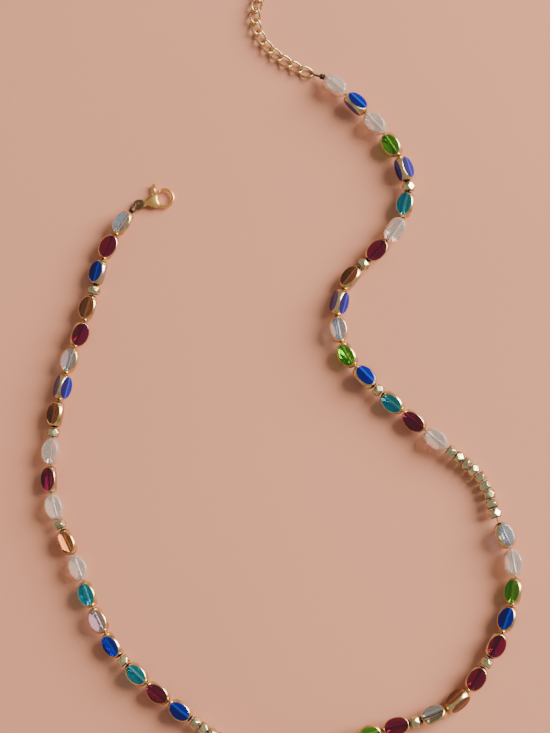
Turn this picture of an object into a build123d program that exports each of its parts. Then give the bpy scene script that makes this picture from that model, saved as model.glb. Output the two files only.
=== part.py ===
"""Beaded eyeglasses chain strap: table-cut glass ovals and nugget spacers on one beading wire,
with a lobster clasp at one end and a curb-chain extender at the other. Millimetres, Z up,
lying on Z = 0."""
from build123d import *
from math import atan2, cos, degrees, radians, sin, sqrt, tan
import os

# Oval glass beads: barrels with three flat table-cut windows round the bore.
OVAL_LENGTH = 7.9
OVAL_DIAMETER = 6.0
OVAL_END_DIAMETER = 1.6
WINDOW_DISTANCE = 1.9       # from the bore to each flat window
# Nugget spacers: cubes with their corners cut off.
NUGGET_LENGTH = 2.45
NUGGET_WIDTH = 3.4
NUGGET_CORNER = 2.05        # from the bore to each cut corner, at mid-length
NUGGET_TAPER = 30           # degrees that the cut corners lean in towards the ends
# The stringing.
BORE_DIAMETER = 0.95
WIRE_DIAMETER = 0.4
BEAD_GAP = 0.4              # between neighbouring beads
BARE_WIRE = 1.3             # extra wire that shows before section 15
BORE_SLACK = 0.2            # how far the wire may cut a corner inside the bores
STRAND_HEIGHT = OVAL_DIAMETER / 2
NUGGET_HEIGHT = 2.1         # where a long run of nuggets lies on the table
SAG_NUGGETS = 3             # nuggets that such a run takes to come down
# Crimps: short tubes that hold two wires side by side.
CRIMP_LENGTH = 1.3
CRIMP_DIAMETER = 1.8
CRIMP_BORE = 1.1
CRIMP_LEAN = 30             # degrees that a crimp slopes down from the bead
CRIMP_START = (0.25, -0.2)  # ahead of and below the last bead's bore
WIRE_SPACING = 0.5          # between the two wires in a crimp
CLASP_REACH = 1.55          # from the crimp to the far side of the clasp's loop
CHAIN_REACH = 3.2           # from the crimp to the far side of the chain's loop
EYE_PIN_GAP = 0.16          # between the loop and the inside of an eye
LOOP_RUN = 1.35             # along the underside of a loop, below the eye
BEND_SHARE = 0.45           # of the shorter run that each bend of the wire takes up
# Lobster clasp, along its own X from the tail eye to the hook.
EYE_HOLE = 1.7
EYE_RIM = 0.7
EYE_THICKNESS = 0.8
CLASP_THICKNESS = 2.2
CLASP_EDGE = 0.4
BODY_CORNERS = [((2.7, 0.1), 0.8), ((5.2, -1.2), 1.0), ((5.1, 1.4), 1.0)]   # centre, radius
OPENING_CENTRE = (8.1, 0.35)
OPENING_DIAMETER = 4.2
HOOK_WIRE = 1.0
HOOK_TIP = 95               # degrees round the opening
HOOK_ROOT = -145
LEVER_PIVOT = (3.7, 0.2)
# Each arm of the lever runs from one round end to another: centre, radius, centre, radius.
LEVER_ARMS = [
    (LEVER_PIVOT, 0.75, (6.86, 2.64), 0.35),
    ((5.3, 1.6), 0.5, (5.6, 4.6), 0.42),
]
THUMB_RADIUS = 0.6
THUMB_THICKNESS = 1.7
LEVER_THICKNESS = 0.75
LEVER_SIDE_GAP = 0.075      # between each face of the lever and its cheek
LEVER_SWING = 22            # degrees that the gate opens
LEVER_GAP = 0.12            # round the lever inside its slot
RIVET_DIAMETER = 0.8
RIVET_RUNNING = 0.05        # between the rivet and the lever's hole
RIVET_FIT = 0.01            # between the rivet and the cheeks
SPRING_WIRE = 0.15
SPRING_RADIUS = 0.3
SPRING_CENTRE = (3.1, -1.05)
CLASP_HEADING = 11          # degrees from X that the clasp points
# Curb chain extender.
LINK_STRAIGHT = 0.85        # from the link's middle to where each round end starts
LINK_END_RADIUS = 1.4       # of the centre line
LINK_TWIST = -35            # degrees that each end is turned out of flat
LINK_WIRE = 0.7
LINK_GAP = 0.2              # between touching links
CHAIN_LIFT = 0.02           # between the chain and the table
CHAIN_HEADING = 160         # degrees from X that the loop and the end link point
CHAIN_TURNS = [-10, -4, -5, -10, -13, -14, -15, -16, -16, -12, -10, -7, -4]

# The strand as it is laid down, from the clasp to the chain.
ROUTE = [
    (-44.5, 42.5), (-53, 31), (-56, 14.5), (-63.5, -3.5), (-67.5, -23.5), (-68.5, -44),
    (-60, -60.5), (-54.5, -77.5), (-45, -92.5), (-30.5, -103.5), (-15, -115.5), (8, -118),
    (30, -109.5), (50.5, -105.5), (62.5, -87.5), (69, -72.5), (68.5, -59.5), (63, -49),
    (60.5, -37.5), (48.5, -28.5), (34.5, -16), (22, -5.5), (16, 7.5), (19, 20.5), (30, 29.5),
    (41, 44), (34, 65.5), (14, 82.5),
]
# The beads of each section in stringing order: O is an oval, n is a nugget.
SECTIONS = (
    "OOO nOO OOO nOOO nOO OOO nOOO nnnnn nnnn OOO OOn "
    "OOO nOO OOO nnnnn nnnn OOO nO OOOO nOOOn OOO OO"
).split()
BARE_SECTION = 15
# How each oval is rolled about its bore: at 0 a window faces up, at 60 a rib does.
OVAL_ROLLS = [
    10, 0, 25, 15, -25, 0, 60, 25, 10, 25, 5, 15, 0, 10, 5, 20, 0, 10, 5,
    0, 10, -15, 5, -5, -25, 60, 0, 10, -20, -25, 0, 15, -5, -20, -20, 20, -20, 5, 60, -30,
    0, 10, -20, 50, -15, 0, 35, 10,
]
NUGGET_ROLL_STEP = 37       # degrees from each nugget to the next

oval_curve = OVAL_LENGTH / 2 / sqrt(1 - (OVAL_END_DIAMETER / OVAL_DIAMETER) ** 2)
loop_rise = EYE_THICKNESS / 2 + EYE_PIN_GAP + WIRE_DIAMETER / 2
clasp_height = CLASP_THICKNESS / 2
link_half_length = LINK_STRAIGHT + LINK_END_RADIUS
link_rise = LINK_END_RADIUS * sin(radians(abs(LINK_TWIST))) + LINK_WIRE / 2
chain_height = link_rise + CHAIN_LIFT
link_pitch = 2 * link_half_length - LINK_WIRE - LINK_GAP
bead_kinds = "".join(SECTIONS)

os.makedirs("parts", exist_ok=True)


def save(part, name):
    """Label a finished piece and write it as its own node."""
    part.label = name
    export_step(part, f"parts/{name}.step")


# --- Bead prototypes, each along X with its bore through the origin -------------------------

with BuildPart() as oval_bead:
    with BuildSketch() as half_outline:
        Ellipse(oval_curve, OVAL_DIAMETER / 2)
        with Locations((0, OVAL_DIAMETER / 4)):
            Rectangle(OVAL_LENGTH, OVAL_DIAMETER / 2, mode=Mode.INTERSECT)
    revolve(axis=Axis.X)
    with BuildSketch(Plane.YZ):
        RegularPolygon(WINDOW_DISTANCE, 3, major_radius=False, rotation=-90)
    extrude(amount=OVAL_LENGTH / 2, both=True, mode=Mode.INTERSECT)
    with BuildSketch(Plane.YZ):
        Circle(BORE_DIAMETER / 2)
    extrude(amount=OVAL_LENGTH, both=True, mode=Mode.SUBTRACT)

with BuildPart() as nugget_bead:
    Box(NUGGET_LENGTH, NUGGET_WIDTH, NUGGET_WIDTH)
    with BuildSketch(Plane.YZ):
        Rectangle(2 * NUGGET_CORNER, 2 * NUGGET_CORNER, rotation=45)
    extrude(amount=NUGGET_LENGTH, both=True, taper=NUGGET_TAPER, mode=Mode.INTERSECT)
    with BuildSketch(Plane.YZ):
        Circle(BORE_DIAMETER / 2)
    extrude(amount=NUGGET_LENGTH, both=True, mode=Mode.SUBTRACT)


# --- Threading: where each bead of the strand begins and ends ------------------------------

def laid_line(size):
    """The strand's line on the table: one parabola at each inner point, joined halfway."""
    points = [Vector(x, y) * size for x, y in ROUTE]
    halfway = [(a + b) * 0.5 for a, b in zip(points[1:-2], points[2:-1])]
    joints = [points[0], *halfway, points[-1]]
    with BuildLine() as line:
        for start, corner, end in zip(joints, points[1:-1], joints[1:]):
            Bezier(start, corner, end)
    return line.wire()


def nugget_sag(section_kinds):
    """How far the gap before each bead hangs below the ovals' bores, in long nugget runs."""
    sags = []
    for index in range(len(section_kinds) + 1):
        before = len(section_kinds[:index]) - len(section_kinds[:index].rstrip("n"))
        after = len(section_kinds[index:]) - len(section_kinds[index:].lstrip("n"))
        part_way = min(before, after, SAG_NUGGETS) / SAG_NUGGETS
        sags.append((STRAND_HEIGHT - NUGGET_HEIGHT) * part_way ** 2 * (3 - 2 * part_way))
    return sags


bare_index = sum(len(kinds) for kinds in SECTIONS[:BARE_SECTION - 1])
gap_distances = [0.0]
for index, kind in enumerate(bead_kinds):
    length = OVAL_LENGTH if kind == "O" else NUGGET_LENGTH
    bare = BARE_WIRE if index + 1 == bare_index else 0
    gap_distances.append(gap_distances[-1] + length + BEAD_GAP + bare)
strand_length = gap_distances[-1]
route = laid_line(strand_length / laid_line(1).length)
sags = nugget_sag(bead_kinds)
gaps = []
for distance, sag in zip(gap_distances, sags):
    point = route.position_at(distance / strand_length)
    gaps.append(Vector(point.X, point.Y, STRAND_HEIGHT - sag))


def bead_place(index, roll):
    """Stand a bead on the chord between its two gaps: X along the wire, turned by roll."""
    start, end = gaps[index], gaps[index + 1]
    along = (end - start).normalized()
    length = OVAL_LENGTH if bead_kinds[index] == "O" else NUGGET_LENGTH
    centre = start + along * ((BEAD_GAP + length) / 2)
    across = Vector(0, 0, 1).cross(along).normalized()
    plane = Plane(origin=centre, x_dir=along, z_dir=along.cross(across))
    return plane.location * Location((0, 0, 0), (roll, 0, 0))


bead_index = 0
oval_count = 0
for number, kinds in enumerate(SECTIONS, start=1):
    oval_places = []
    nugget_places = []
    for kind in kinds:
        if kind == "O":
            oval_places.append(bead_place(bead_index, OVAL_ROLLS[oval_count]))
            oval_count += 1
        else:
            nugget_places.append(bead_place(bead_index, bead_index * NUGGET_ROLL_STEP % 90))
        bead_index += 1
    if oval_places:
        with BuildPart() as oval_beads:
            with Locations(*oval_places):
                add(oval_bead.part)
        save(oval_beads.part, f"oval_beads_{number:02d}")
    if nugget_places:
        with BuildPart() as nugget_beads:
            with Locations(*nugget_places):
                add(nugget_bead.part)
        save(nugget_beads.part, f"nugget_beads_{number:02d}")


# --- The two ends of the wire: a crimp, then a loop round an eye ----------------------------

def end_frame(end, heading):
    """A frame on the strand's end: X outwards along the heading, Y up, Z to the side."""
    outwards = Vector(cos(radians(heading)), sin(radians(heading)), 0)
    return Plane(origin=end, x_dir=outwards, z_dir=outwards.cross(Vector(0, 0, 1)))


def crimp_centre(frame, share):
    """A point on the crimp's axis, from 0 at the bead to 1 at the loop."""
    run = CRIMP_LENGTH * share
    x = CRIMP_START[0] + run * cos(radians(CRIMP_LEAN))
    y = CRIMP_START[1] - run * sin(radians(CRIMP_LEAN))
    return frame.from_local_coords(Vector(x, y))


def wire_end(frame, eye_height, reach):
    """The wire's points from the strand's end through the crimp, round the eye and back."""
    across = Vector(sin(radians(CRIMP_LEAN)), cos(radians(CRIMP_LEAN))) * (WIRE_SPACING / 2)
    side = frame.from_local_coords(across) - frame.origin
    near, far = crimp_centre(frame, 0), crimp_centre(frame, 1)
    crimp_x = frame.to_local_coords(far).X
    drop = eye_height - frame.origin.Z
    pin = crimp_x + reach
    under = drop - loop_rise
    corners = [(pin, drop + loop_rise), (pin, under), (pin - LOOP_RUN, under)]
    around = [frame.from_local_coords(Vector(x, y)) for x, y in corners]
    return [near + side, far + side, *around, far - side, near - side]


def crimp_tube(frame):
    """A short tube round both wires, with its ends rounded off."""
    axis = crimp_centre(frame, 1) - crimp_centre(frame, 0)
    with BuildPart() as tube:
        with BuildSketch(Plane(origin=crimp_centre(frame, 0), z_dir=axis)):
            Circle(CRIMP_DIAMETER / 2)
            Circle(CRIMP_BORE / 2, mode=Mode.SUBTRACT)
        extrude(amount=CRIMP_LENGTH)
        chamfer(tube.edges().filter_by(GeomType.CIRCLE).group_by(SortBy.RADIUS)[-1], 0.15)
    return tube.part


outwards = gaps[0] - gaps[1]
clasp_frame = end_frame(gaps[0], degrees(atan2(outwards.Y, outwards.X)))
chain_frame = end_frame(gaps[-1], CHAIN_HEADING)
clasp_wire = wire_end(clasp_frame, clasp_height, CLASP_REACH)
chain_wire = wire_end(chain_frame, chain_height, CHAIN_REACH)
save(crimp_tube(clasp_frame), "crimp_clasp_end")
save(crimp_tube(chain_frame), "crimp_chain_end")

# --- The beading wire, whole, along the bores and round both loops --------------------------

wire_points = [*reversed(clasp_wire), *gaps, *chain_wire]
first_gap = len(clasp_wire)
radii = []
for index in range(1, len(wire_points) - 1):
    before = wire_points[index] - wire_points[index - 1]
    after = wire_points[index + 1] - wire_points[index]
    half_turn = radians(before.get_angle(after)) / 2
    radius = BEND_SHARE * min(before.length, after.length) / tan(half_turn)
    if first_gap <= index < first_gap + len(gaps):
        radius = min(radius, BORE_SLACK / (1 / cos(half_turn) - 1))
    radii.append(radius)
print("wire radii, mm:", [round(radius, 1) for radius in radii])

with BuildPart() as beading_wire:
    with BuildLine() as wire_line:
        FilletPolyline(*wire_points, radius=radii)
    wire_start = wire_points[0]
    with BuildSketch(Plane(origin=wire_start, z_dir=wire_points[1] - wire_start)):
        Circle(WIRE_DIAMETER / 2)
    sweep(path=wire_line.line)
save(beading_wire.part, "beading_wire")


# --- Lobster clasp, made flat round its tail eye, then laid at the wire loop ----------------

pin_offset = EYE_HOLE / 2 - WIRE_DIAMETER / 2 - EYE_PIN_GAP
clasp_pin = clasp_wire[2]
clasp_turn = Location((clasp_pin.X, clasp_pin.Y, clasp_height), (0, 0, CLASP_HEADING))
clasp_place = clasp_turn * Location((pin_offset, 0, 0))
opening_radius = OPENING_DIAMETER / 2
hook_radius = opening_radius + HOOK_WIRE / 2


def lever_outline(swing, gap):
    """The lever seen from above, swung open by an angle and grown by a gap all round."""
    with BuildSketch(mode=Mode.PRIVATE) as outline:
        for start, start_radius, end, end_radius in LEVER_ARMS:
            with BuildSketch(mode=Mode.PRIVATE) as arm:
                with Locations(start):
                    Circle(start_radius + gap)
                with Locations(end):
                    Circle(end_radius + gap)
                make_hull()
            add(arm.sketch)
    pivot = Location((*LEVER_PIVOT, 0))
    return outline.sketch.moved(pivot * Location((0, 0, 0), (0, 0, swing)) * pivot.inverse())


with BuildPart() as clasp_body:
    with BuildSketch():
        for centre, radius in BODY_CORNERS:
            with Locations(centre):
                Circle(radius)
        make_hull()
    extrude(amount=CLASP_THICKNESS / 2, both=True)
    chamfer(clasp_body.faces().filter_by(Axis.Z).edges(), CLASP_EDGE)
    with BuildSketch():
        Circle(EYE_HOLE / 2 + EYE_RIM)
        with Locations(BODY_CORNERS[0][0]):
            Circle(BODY_CORNERS[0][1])
        make_hull()
    extrude(amount=EYE_THICKNESS / 2, both=True)
    with BuildSketch():
        Circle(EYE_HOLE / 2)
        with Locations(OPENING_CENTRE):
            Circle(opening_radius)
    extrude(amount=CLASP_THICKNESS, both=True, mode=Mode.SUBTRACT)
    with BuildLine() as hook_line:
        CenterArc(OPENING_CENTRE, hook_radius, HOOK_TIP, HOOK_ROOT - HOOK_TIP)
    with BuildSketch(Plane(origin=hook_line.line @ 0, z_dir=hook_line.line % 0)):
        Circle(HOOK_WIRE / 2)
    sweep(path=hook_line.line)
    with Locations(hook_line.line @ 0):
        Sphere(HOOK_WIRE / 2)
    for swing in range(0, LEVER_SWING + 1, LEVER_SWING // 2):
        with BuildSketch():
            add(lever_outline(swing, LEVER_GAP))
        extrude(amount=LEVER_THICKNESS / 2 + LEVER_SIDE_GAP, both=True, mode=Mode.SUBTRACT)
    with BuildSketch():
        with Locations(SPRING_CENTRE):
            Circle(SPRING_RADIUS + SPRING_WIRE)
    extrude(amount=LEVER_THICKNESS / 2, both=True, mode=Mode.SUBTRACT)
    with BuildSketch():
        with Locations(LEVER_PIVOT):
            Circle(RIVET_DIAMETER / 2 + RIVET_FIT)
    extrude(amount=CLASP_THICKNESS, both=True, mode=Mode.SUBTRACT)
save(clasp_body.part.moved(clasp_place), "clasp_body")

with BuildPart() as clasp_lever:
    with BuildSketch():
        add(lever_outline(0, 0))
    extrude(amount=LEVER_THICKNESS / 2, both=True)
    with BuildSketch():
        with Locations(LEVER_ARMS[-1][2]):
            Circle(THUMB_RADIUS)
    extrude(amount=THUMB_THICKNESS / 2, both=True)
    with BuildSketch():
        with Locations(LEVER_PIVOT):
            Circle(RIVET_DIAMETER / 2 + RIVET_RUNNING)
    extrude(amount=LEVER_THICKNESS, both=True, mode=Mode.SUBTRACT)
save(clasp_lever.part.moved(clasp_place), "clasp_lever")

with BuildPart() as clasp_rivet:
    with BuildSketch():
        with Locations(LEVER_PIVOT):
            Circle(RIVET_DIAMETER / 2)
    extrude(amount=CLASP_THICKNESS / 2, both=True)
save(clasp_rivet.part.moved(clasp_place), "clasp_rivet")

with BuildPart() as clasp_spring:
    with BuildLine() as spring_line:
        CenterArc(SPRING_CENTRE, SPRING_RADIUS, 120, 300)
    with BuildSketch(Plane(origin=spring_line.line @ 0, z_dir=spring_line.line % 0)):
        Circle(SPRING_WIRE / 2)
    sweep(path=spring_line.line)
save(clasp_spring.part.moved(clasp_place), "clasp_spring")


# --- Curb chain, from the end link on the wire loop to the last link ------------------------

link_ends = []
with BuildPart() as curb_link:
    for side in (1, -1):
        across = Vector(0, side * cos(radians(LINK_TWIST)), sin(radians(LINK_TWIST)))
        ahead = Vector(side, 0, 0)
        end_plane = Plane(ahead * LINK_STRAIGHT, x_dir=ahead, z_dir=ahead.cross(across))
        with BuildLine(end_plane) as end_line:
            CenterArc((0, 0), LINK_END_RADIUS, -90, 180)
        with BuildSketch(Plane(origin=end_line.line @ 0, z_dir=end_line.line % 0)):
            Circle(LINK_WIRE / 2)
        sweep(path=end_line.line)
        link_ends += [end_line.line @ 0, end_line.line @ 1]
    with Locations(*link_ends):
        Sphere(LINK_WIRE / 2)
    for start, end in ((link_ends[1], link_ends[2]), (link_ends[3], link_ends[0])):
        with BuildSketch(Plane(origin=start, z_dir=end - start)):
            Circle(LINK_WIRE / 2)
        extrude(amount=(end - start).length)

chain_pin = chain_wire[2]
heading = CHAIN_HEADING
along = Vector(cos(radians(heading)), sin(radians(heading)), 0)
first_reach = link_half_length - LINK_WIRE / 2 - WIRE_DIAMETER / 2 - EYE_PIN_GAP
centre = Vector(chain_pin.X, chain_pin.Y, chain_height) + along * first_reach
save(curb_link.part.moved(Location(centre, (0, 0, heading))), "end_link")
for number, turn in enumerate(CHAIN_TURNS, start=1):
    hinge = centre + along * (link_pitch / 2)
    heading += turn
    along = Vector(cos(radians(heading)), sin(radians(heading)), 0)
    centre = hinge + along * (link_pitch / 2)
    save(curb_link.part.moved(Location(centre, (0, 0, heading))), f"chain_link_{number:02d}")
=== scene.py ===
# %% [markdown]
# # A beaded eyeglasses chain strap
#
# The strap is one long beading wire with two kinds of bead on it: oval glass beads with three
# flat windows cut through a gold coat, and small faceted metal nuggets. A lobster clasp hooks
# one end, and a short curb chain lengthens the other.
#
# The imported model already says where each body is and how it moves. This file dresses that
# frame: every bead, link and bend of wire is worked out as a smooth surface, laid where its
# CAD node is, and tied to the same body.

from math import atan, cos, pi, radians, sin, sqrt

import bmesh
import bpy
import numpy as np
from mathutils import Matrix, Vector


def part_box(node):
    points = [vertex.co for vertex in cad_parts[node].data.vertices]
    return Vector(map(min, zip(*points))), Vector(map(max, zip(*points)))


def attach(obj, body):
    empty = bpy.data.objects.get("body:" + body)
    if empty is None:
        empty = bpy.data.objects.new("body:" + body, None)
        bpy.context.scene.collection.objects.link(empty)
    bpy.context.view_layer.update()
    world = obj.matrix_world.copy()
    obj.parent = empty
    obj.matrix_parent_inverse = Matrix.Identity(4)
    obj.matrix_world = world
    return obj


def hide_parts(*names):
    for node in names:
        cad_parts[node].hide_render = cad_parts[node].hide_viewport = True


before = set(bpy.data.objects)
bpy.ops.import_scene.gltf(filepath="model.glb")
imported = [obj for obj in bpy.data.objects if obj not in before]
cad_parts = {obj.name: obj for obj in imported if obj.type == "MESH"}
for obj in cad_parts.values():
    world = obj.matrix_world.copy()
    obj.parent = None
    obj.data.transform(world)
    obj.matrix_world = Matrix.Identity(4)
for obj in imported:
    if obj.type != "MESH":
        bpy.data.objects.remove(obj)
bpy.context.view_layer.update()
random = np.random.default_rng(7)

# %% [markdown]
# ## Sizes
#
# These are the maker's sizes from the CAD source, in metres. A visual piece that takes its
# shape from the same numbers lands exactly where the CAD node is, so nothing has to be fitted.
# Only two of them are new: the ruby beads are ground a little deeper than the others, and a
# ground window isn't quite flat, so its distance from the bore falls by a share at its ends.

# %% The sizes of the beads, the wire and the findings
MM = 0.001
OVAL_LENGTH = 7.9 * MM
OVAL_DIAMETER = 6.0 * MM
OVAL_END_DIAMETER = 1.6 * MM
WINDOW_DISTANCE = 1.9 * MM
RUBY_WINDOW_DISTANCE = 1.68 * MM
WINDOW_CROWN = 0.06
NUGGET_LENGTH = 2.45 * MM
NUGGET_WIDTH = 3.4 * MM
NUGGET_CORNER = 2.05 * MM
NUGGET_TAPER = radians(30)
BORE_RADIUS = 0.475 * MM
WIRE_RADIUS = 0.2 * MM
BEAD_GAP = 0.4 * MM
BARE_WIRE = 1.3 * MM
STRAND_HEIGHT = OVAL_DIAMETER / 2
NUGGET_HEIGHT = 2.1 * MM
SAG_NUGGETS = 3

# %% The strand as it is laid down, from the clasp to the chain, in metres
ROUTE = [
    (-0.0445, 0.0425), (-0.053, 0.031), (-0.056, 0.0145), (-0.0635, -0.0035),
    (-0.0675, -0.0235), (-0.0685, -0.044), (-0.060, -0.0605), (-0.0545, -0.0775),
    (-0.045, -0.0925), (-0.0305, -0.1035), (-0.015, -0.1155), (0.008, -0.118),
    (0.030, -0.1095), (0.0505, -0.1055), (0.0625, -0.0875), (0.069, -0.0725),
    (0.0685, -0.0595), (0.063, -0.049), (0.0605, -0.0375), (0.0485, -0.0285),
    (0.0345, -0.016), (0.022, -0.0055), (0.016, 0.0075), (0.019, 0.0205),
    (0.030, 0.0295), (0.041, 0.044), (0.034, 0.0655), (0.014, 0.0825),
]
# One letter for each bead of each section: n is a nugget, the others are ovals by colour.
# R ruby, B cobalt, T teal, G green, A amber, C gilt crystal, L gilt lilac, S smoke,
# P plain pearl-coated glass.
SECTIONS = (
    "CRB nAR CBA nPRP nAP TLB nTRB nnnnn nnnn BTA GRn "
    "SAR nRB GPC nnnnn nnnn PRT nB GCBA nRPTn BGP BP"
).split()
BARE_SECTION = 15
OVAL_ROLLS = [
    10, 0, 25, 15, -25, 0, 60, 25, 10, 25, 5, 15, 0, 10, 5, 20, 0, 10, 5,
    0, 10, -15, 5, -5, -25, 60, 0, 10, -20, -25, 0, 15, -5, -20, -20, 20, -20, 5, 60, -30,
    0, 10, -20, 50, -15, 0, 35, 10,
]
NUGGET_ROLL_STEP = 37
bead_kinds = "".join(SECTIONS)
print("beads:", len(bead_kinds), "nuggets:", bead_kinds.count("n"))

# %% [markdown]
# ## The camera
#
# The strap is seen from nearly straight above, from a little over half a metre away. The
# camera comes first.

# %% Camera
CAMERA_TARGET = Vector((-1 * MM, -4.5 * MM, 3 * MM))
CAMERA_DISTANCE = 0.5319
CAMERA_TILT = radians(7.5)
CAMERA_SIDE = radians(-50)
SENSOR = 36
FOCAL_WIDTHS = 36 / 11      # focal length over frame width

camera_data = bpy.data.cameras.new("camera")
camera_data.sensor_fit = "HORIZONTAL"
camera_data.sensor_width = SENSOR
camera_data.lens = SENSOR * FOCAL_WIDTHS
camera_data.clip_start = 0.01
camera = bpy.data.objects.new("camera", camera_data)
towards_camera = Vector((
    sin(CAMERA_TILT) * cos(CAMERA_SIDE), sin(CAMERA_TILT) * sin(CAMERA_SIDE), cos(CAMERA_TILT)
))
right = Vector((0, 1, 0)).cross(towards_camera).normalized()
upward = towards_camera.cross(right)
camera.matrix_world = Matrix((
    (right.x, upward.x, towards_camera.x, 0),
    (right.y, upward.y, towards_camera.y, 0),
    (right.z, upward.z, towards_camera.z, 0),
    (0, 0, 0, 1),
))
camera.matrix_world.translation = CAMERA_TARGET + towards_camera * CAMERA_DISTANCE
bpy.context.scene.collection.objects.link(camera)
bpy.context.scene.camera = camera
print("camera at", [round(x, 4) for x in camera.matrix_world.translation])

# %% [markdown]
# ## Surfaces from rings
#
# Beads, links, wire and crimps are all a ring of points carried along something. One helper
# turns such a stack of rings into a mesh. With the rings closed on themselves it is a bead
# with its bore; with open ends, a small face closes each end.

# %% From rings of points to a mesh
def skin(name, rings, closed, **values):
    """A mesh of shapes from rings[shape, ring, place on the ring, xyz]. Neighbouring rings are
    joined by quads. If closed, the last ring joins the first. values are per-point numbers."""
    shapes, count, around = rings.shape[:3]
    ring = np.arange(count if closed else count - 1)[:, None]
    place = np.arange(around)[None, :]
    after, beside = (ring + 1) % count, (place + 1) % around
    corners = [ring * around + place, ring * around + beside,
               after * around + beside, after * around + place]
    quads = np.stack(corners, -1).reshape(-1, 4)
    first = np.arange(shapes)[:, None, None] * count * around
    faces = (quads[None] + first).reshape(-1, 4).tolist()
    if not closed:
        ends = np.stack([np.arange(around)[::-1], (count - 1) * around + np.arange(around)])
        faces += (ends[None] + first).reshape(-1, around).tolist()
    mesh = bpy.data.meshes.new(name)
    mesh.from_pydata(rings.reshape(-1, 3).tolist(), [], faces)
    for key, value in values.items():
        attribute = mesh.attributes.new(key, "FLOAT", "POINT")
        attribute.data.foreach_set("value", np.asarray(value, np.float32).ravel())
    if volume(mesh) < 0:
        mesh.flip_normals()
    mesh.shade_smooth()
    piece = bpy.data.objects.new(name, mesh)
    bpy.context.scene.collection.objects.link(piece)
    return piece


def volume(mesh):
    """Signed volume: each triangle makes a tetrahedron with the mesh's first point."""
    mesh.calc_loop_triangles()
    points = np.empty(len(mesh.vertices) * 3)
    mesh.vertices.foreach_get("co", points)
    corners = np.empty(len(mesh.loop_triangles) * 3, int)
    mesh.loop_triangles.foreach_get("vertices", corners)
    points = points.reshape(-1, 3)
    a, b, c = np.moveaxis((points - points[0])[corners.reshape(-1, 3)], 1, 0)
    return float(np.einsum("ij,ij->", a, np.cross(b, c))) / 6


def unit(vectors):
    """The same vectors with length 1."""
    return vectors / np.linalg.norm(vectors, axis=-1, keepdims=True)


# %% [markdown]
# ## The wire's route
#
# The strand is laid in a loose S. Its line is a smooth NURBS spline of the route's points, and
# the beads are threaded along it: each bead takes its own length and a small gap. A long run
# of nuggets is thinner than the ovals, so there the wire comes down towards the table.

# %% Read the route's spline
def spline_points(name, points, resolution):
    """Points along a clamped quadratic NURBS spline of the given control points."""
    curve = bpy.data.curves.new(name, "CURVE")
    curve.dimensions = "3D"
    curve.resolution_u = resolution
    spline = curve.splines.new("NURBS")
    spline.points.add(len(points) - 1)
    for control, point in zip(spline.points, points):
        control.co = (*point, 1)
    spline.order_u = 3
    spline.use_endpoint_u = True
    holder = bpy.data.objects.new(name, curve)
    bpy.context.scene.collection.objects.link(holder)
    bpy.context.view_layer.update()
    depsgraph = bpy.context.evaluated_depsgraph_get()
    mesh = bpy.data.meshes.new_from_object(holder.evaluated_get(depsgraph))
    line = np.empty(len(mesh.vertices) * 3)
    mesh.vertices.foreach_get("co", line)
    bpy.data.objects.remove(holder)
    return line.reshape(-1, 3)


def distances(line):
    """How far along the line each of its points is."""
    steps = np.linalg.norm(np.diff(line, axis=0), axis=1)
    return np.concatenate([[0], np.cumsum(steps)])


route = spline_points("strand_route", [(x, y, 0) for x, y in ROUTE], 64)
print("route:", len(route), "points,", round(distances(route)[-1] / MM, 2), "mm")

# %% Thread the beads: the gap before each bead
bare_index = len("".join(SECTIONS[:BARE_SECTION - 1]))
bead_lengths = np.array([NUGGET_LENGTH if kind == "n" else OVAL_LENGTH for kind in bead_kinds])
pitches = bead_lengths + BEAD_GAP
pitches[bare_index - 1] += BARE_WIRE
gap_distances = np.concatenate([[0], np.cumsum(pitches)])
strand_length = gap_distances[-1]
route *= strand_length / distances(route)[-1]
nuggets_before = np.array([
    len(bead_kinds[:i]) - len(bead_kinds[:i].rstrip("n")) for i in range(len(bead_kinds) + 1)
])
nuggets_after = np.array([
    len(bead_kinds[i:]) - len(bead_kinds[i:].lstrip("n")) for i in range(len(bead_kinds) + 1)
])
part_way = np.minimum(np.minimum(nuggets_before, nuggets_after), SAG_NUGGETS) / SAG_NUGGETS
gaps = np.stack([
    np.interp(gap_distances, distances(route), route[:, 0]),
    np.interp(gap_distances, distances(route), route[:, 1]),
    STRAND_HEIGHT - (STRAND_HEIGHT - NUGGET_HEIGHT) * part_way ** 2 * (3 - 2 * part_way),
], -1)
alongs = unit(np.diff(gaps, axis=0))
centres = gaps[:-1] + alongs * ((BEAD_GAP + bead_lengths) / 2)[:, None]
lefts = unit(np.cross([0, 0, 1], alongs))
ups = np.cross(alongs, lefts)
section_of = np.repeat(np.arange(len(SECTIONS)), [len(kinds) for kinds in SECTIONS])
print("strand:", round(strand_length / MM, 2), "mm")


# %% Stand shapes on the wire
def stand(indices, rolls, along, outward, angle):
    """Put shapes on the wire: along is the distance from a bead's middle, outward from its
    bore, and angle is measured from straight up, to the right of travel. Each is an array
    of [shape or 1, ring, place]. rolls turn each shape about the wire."""
    turned = angle + rolls[:, None, None]
    x, y, z = alongs[indices], lefts[indices], ups[indices]
    points = centres[indices][:, None, None] + along[..., None] * x[:, None, None]
    points = points - (outward * np.sin(turned))[..., None] * y[:, None, None]
    return points + (outward * np.cos(turned))[..., None] * z[:, None, None]


# %% [markdown]
# ## Shader maths as Python
#
# A finish is a small network of nodes. To keep it readable, a socket is wrapped in a Field,
# and sums and products of Fields add the Math nodes by themselves.

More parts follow.
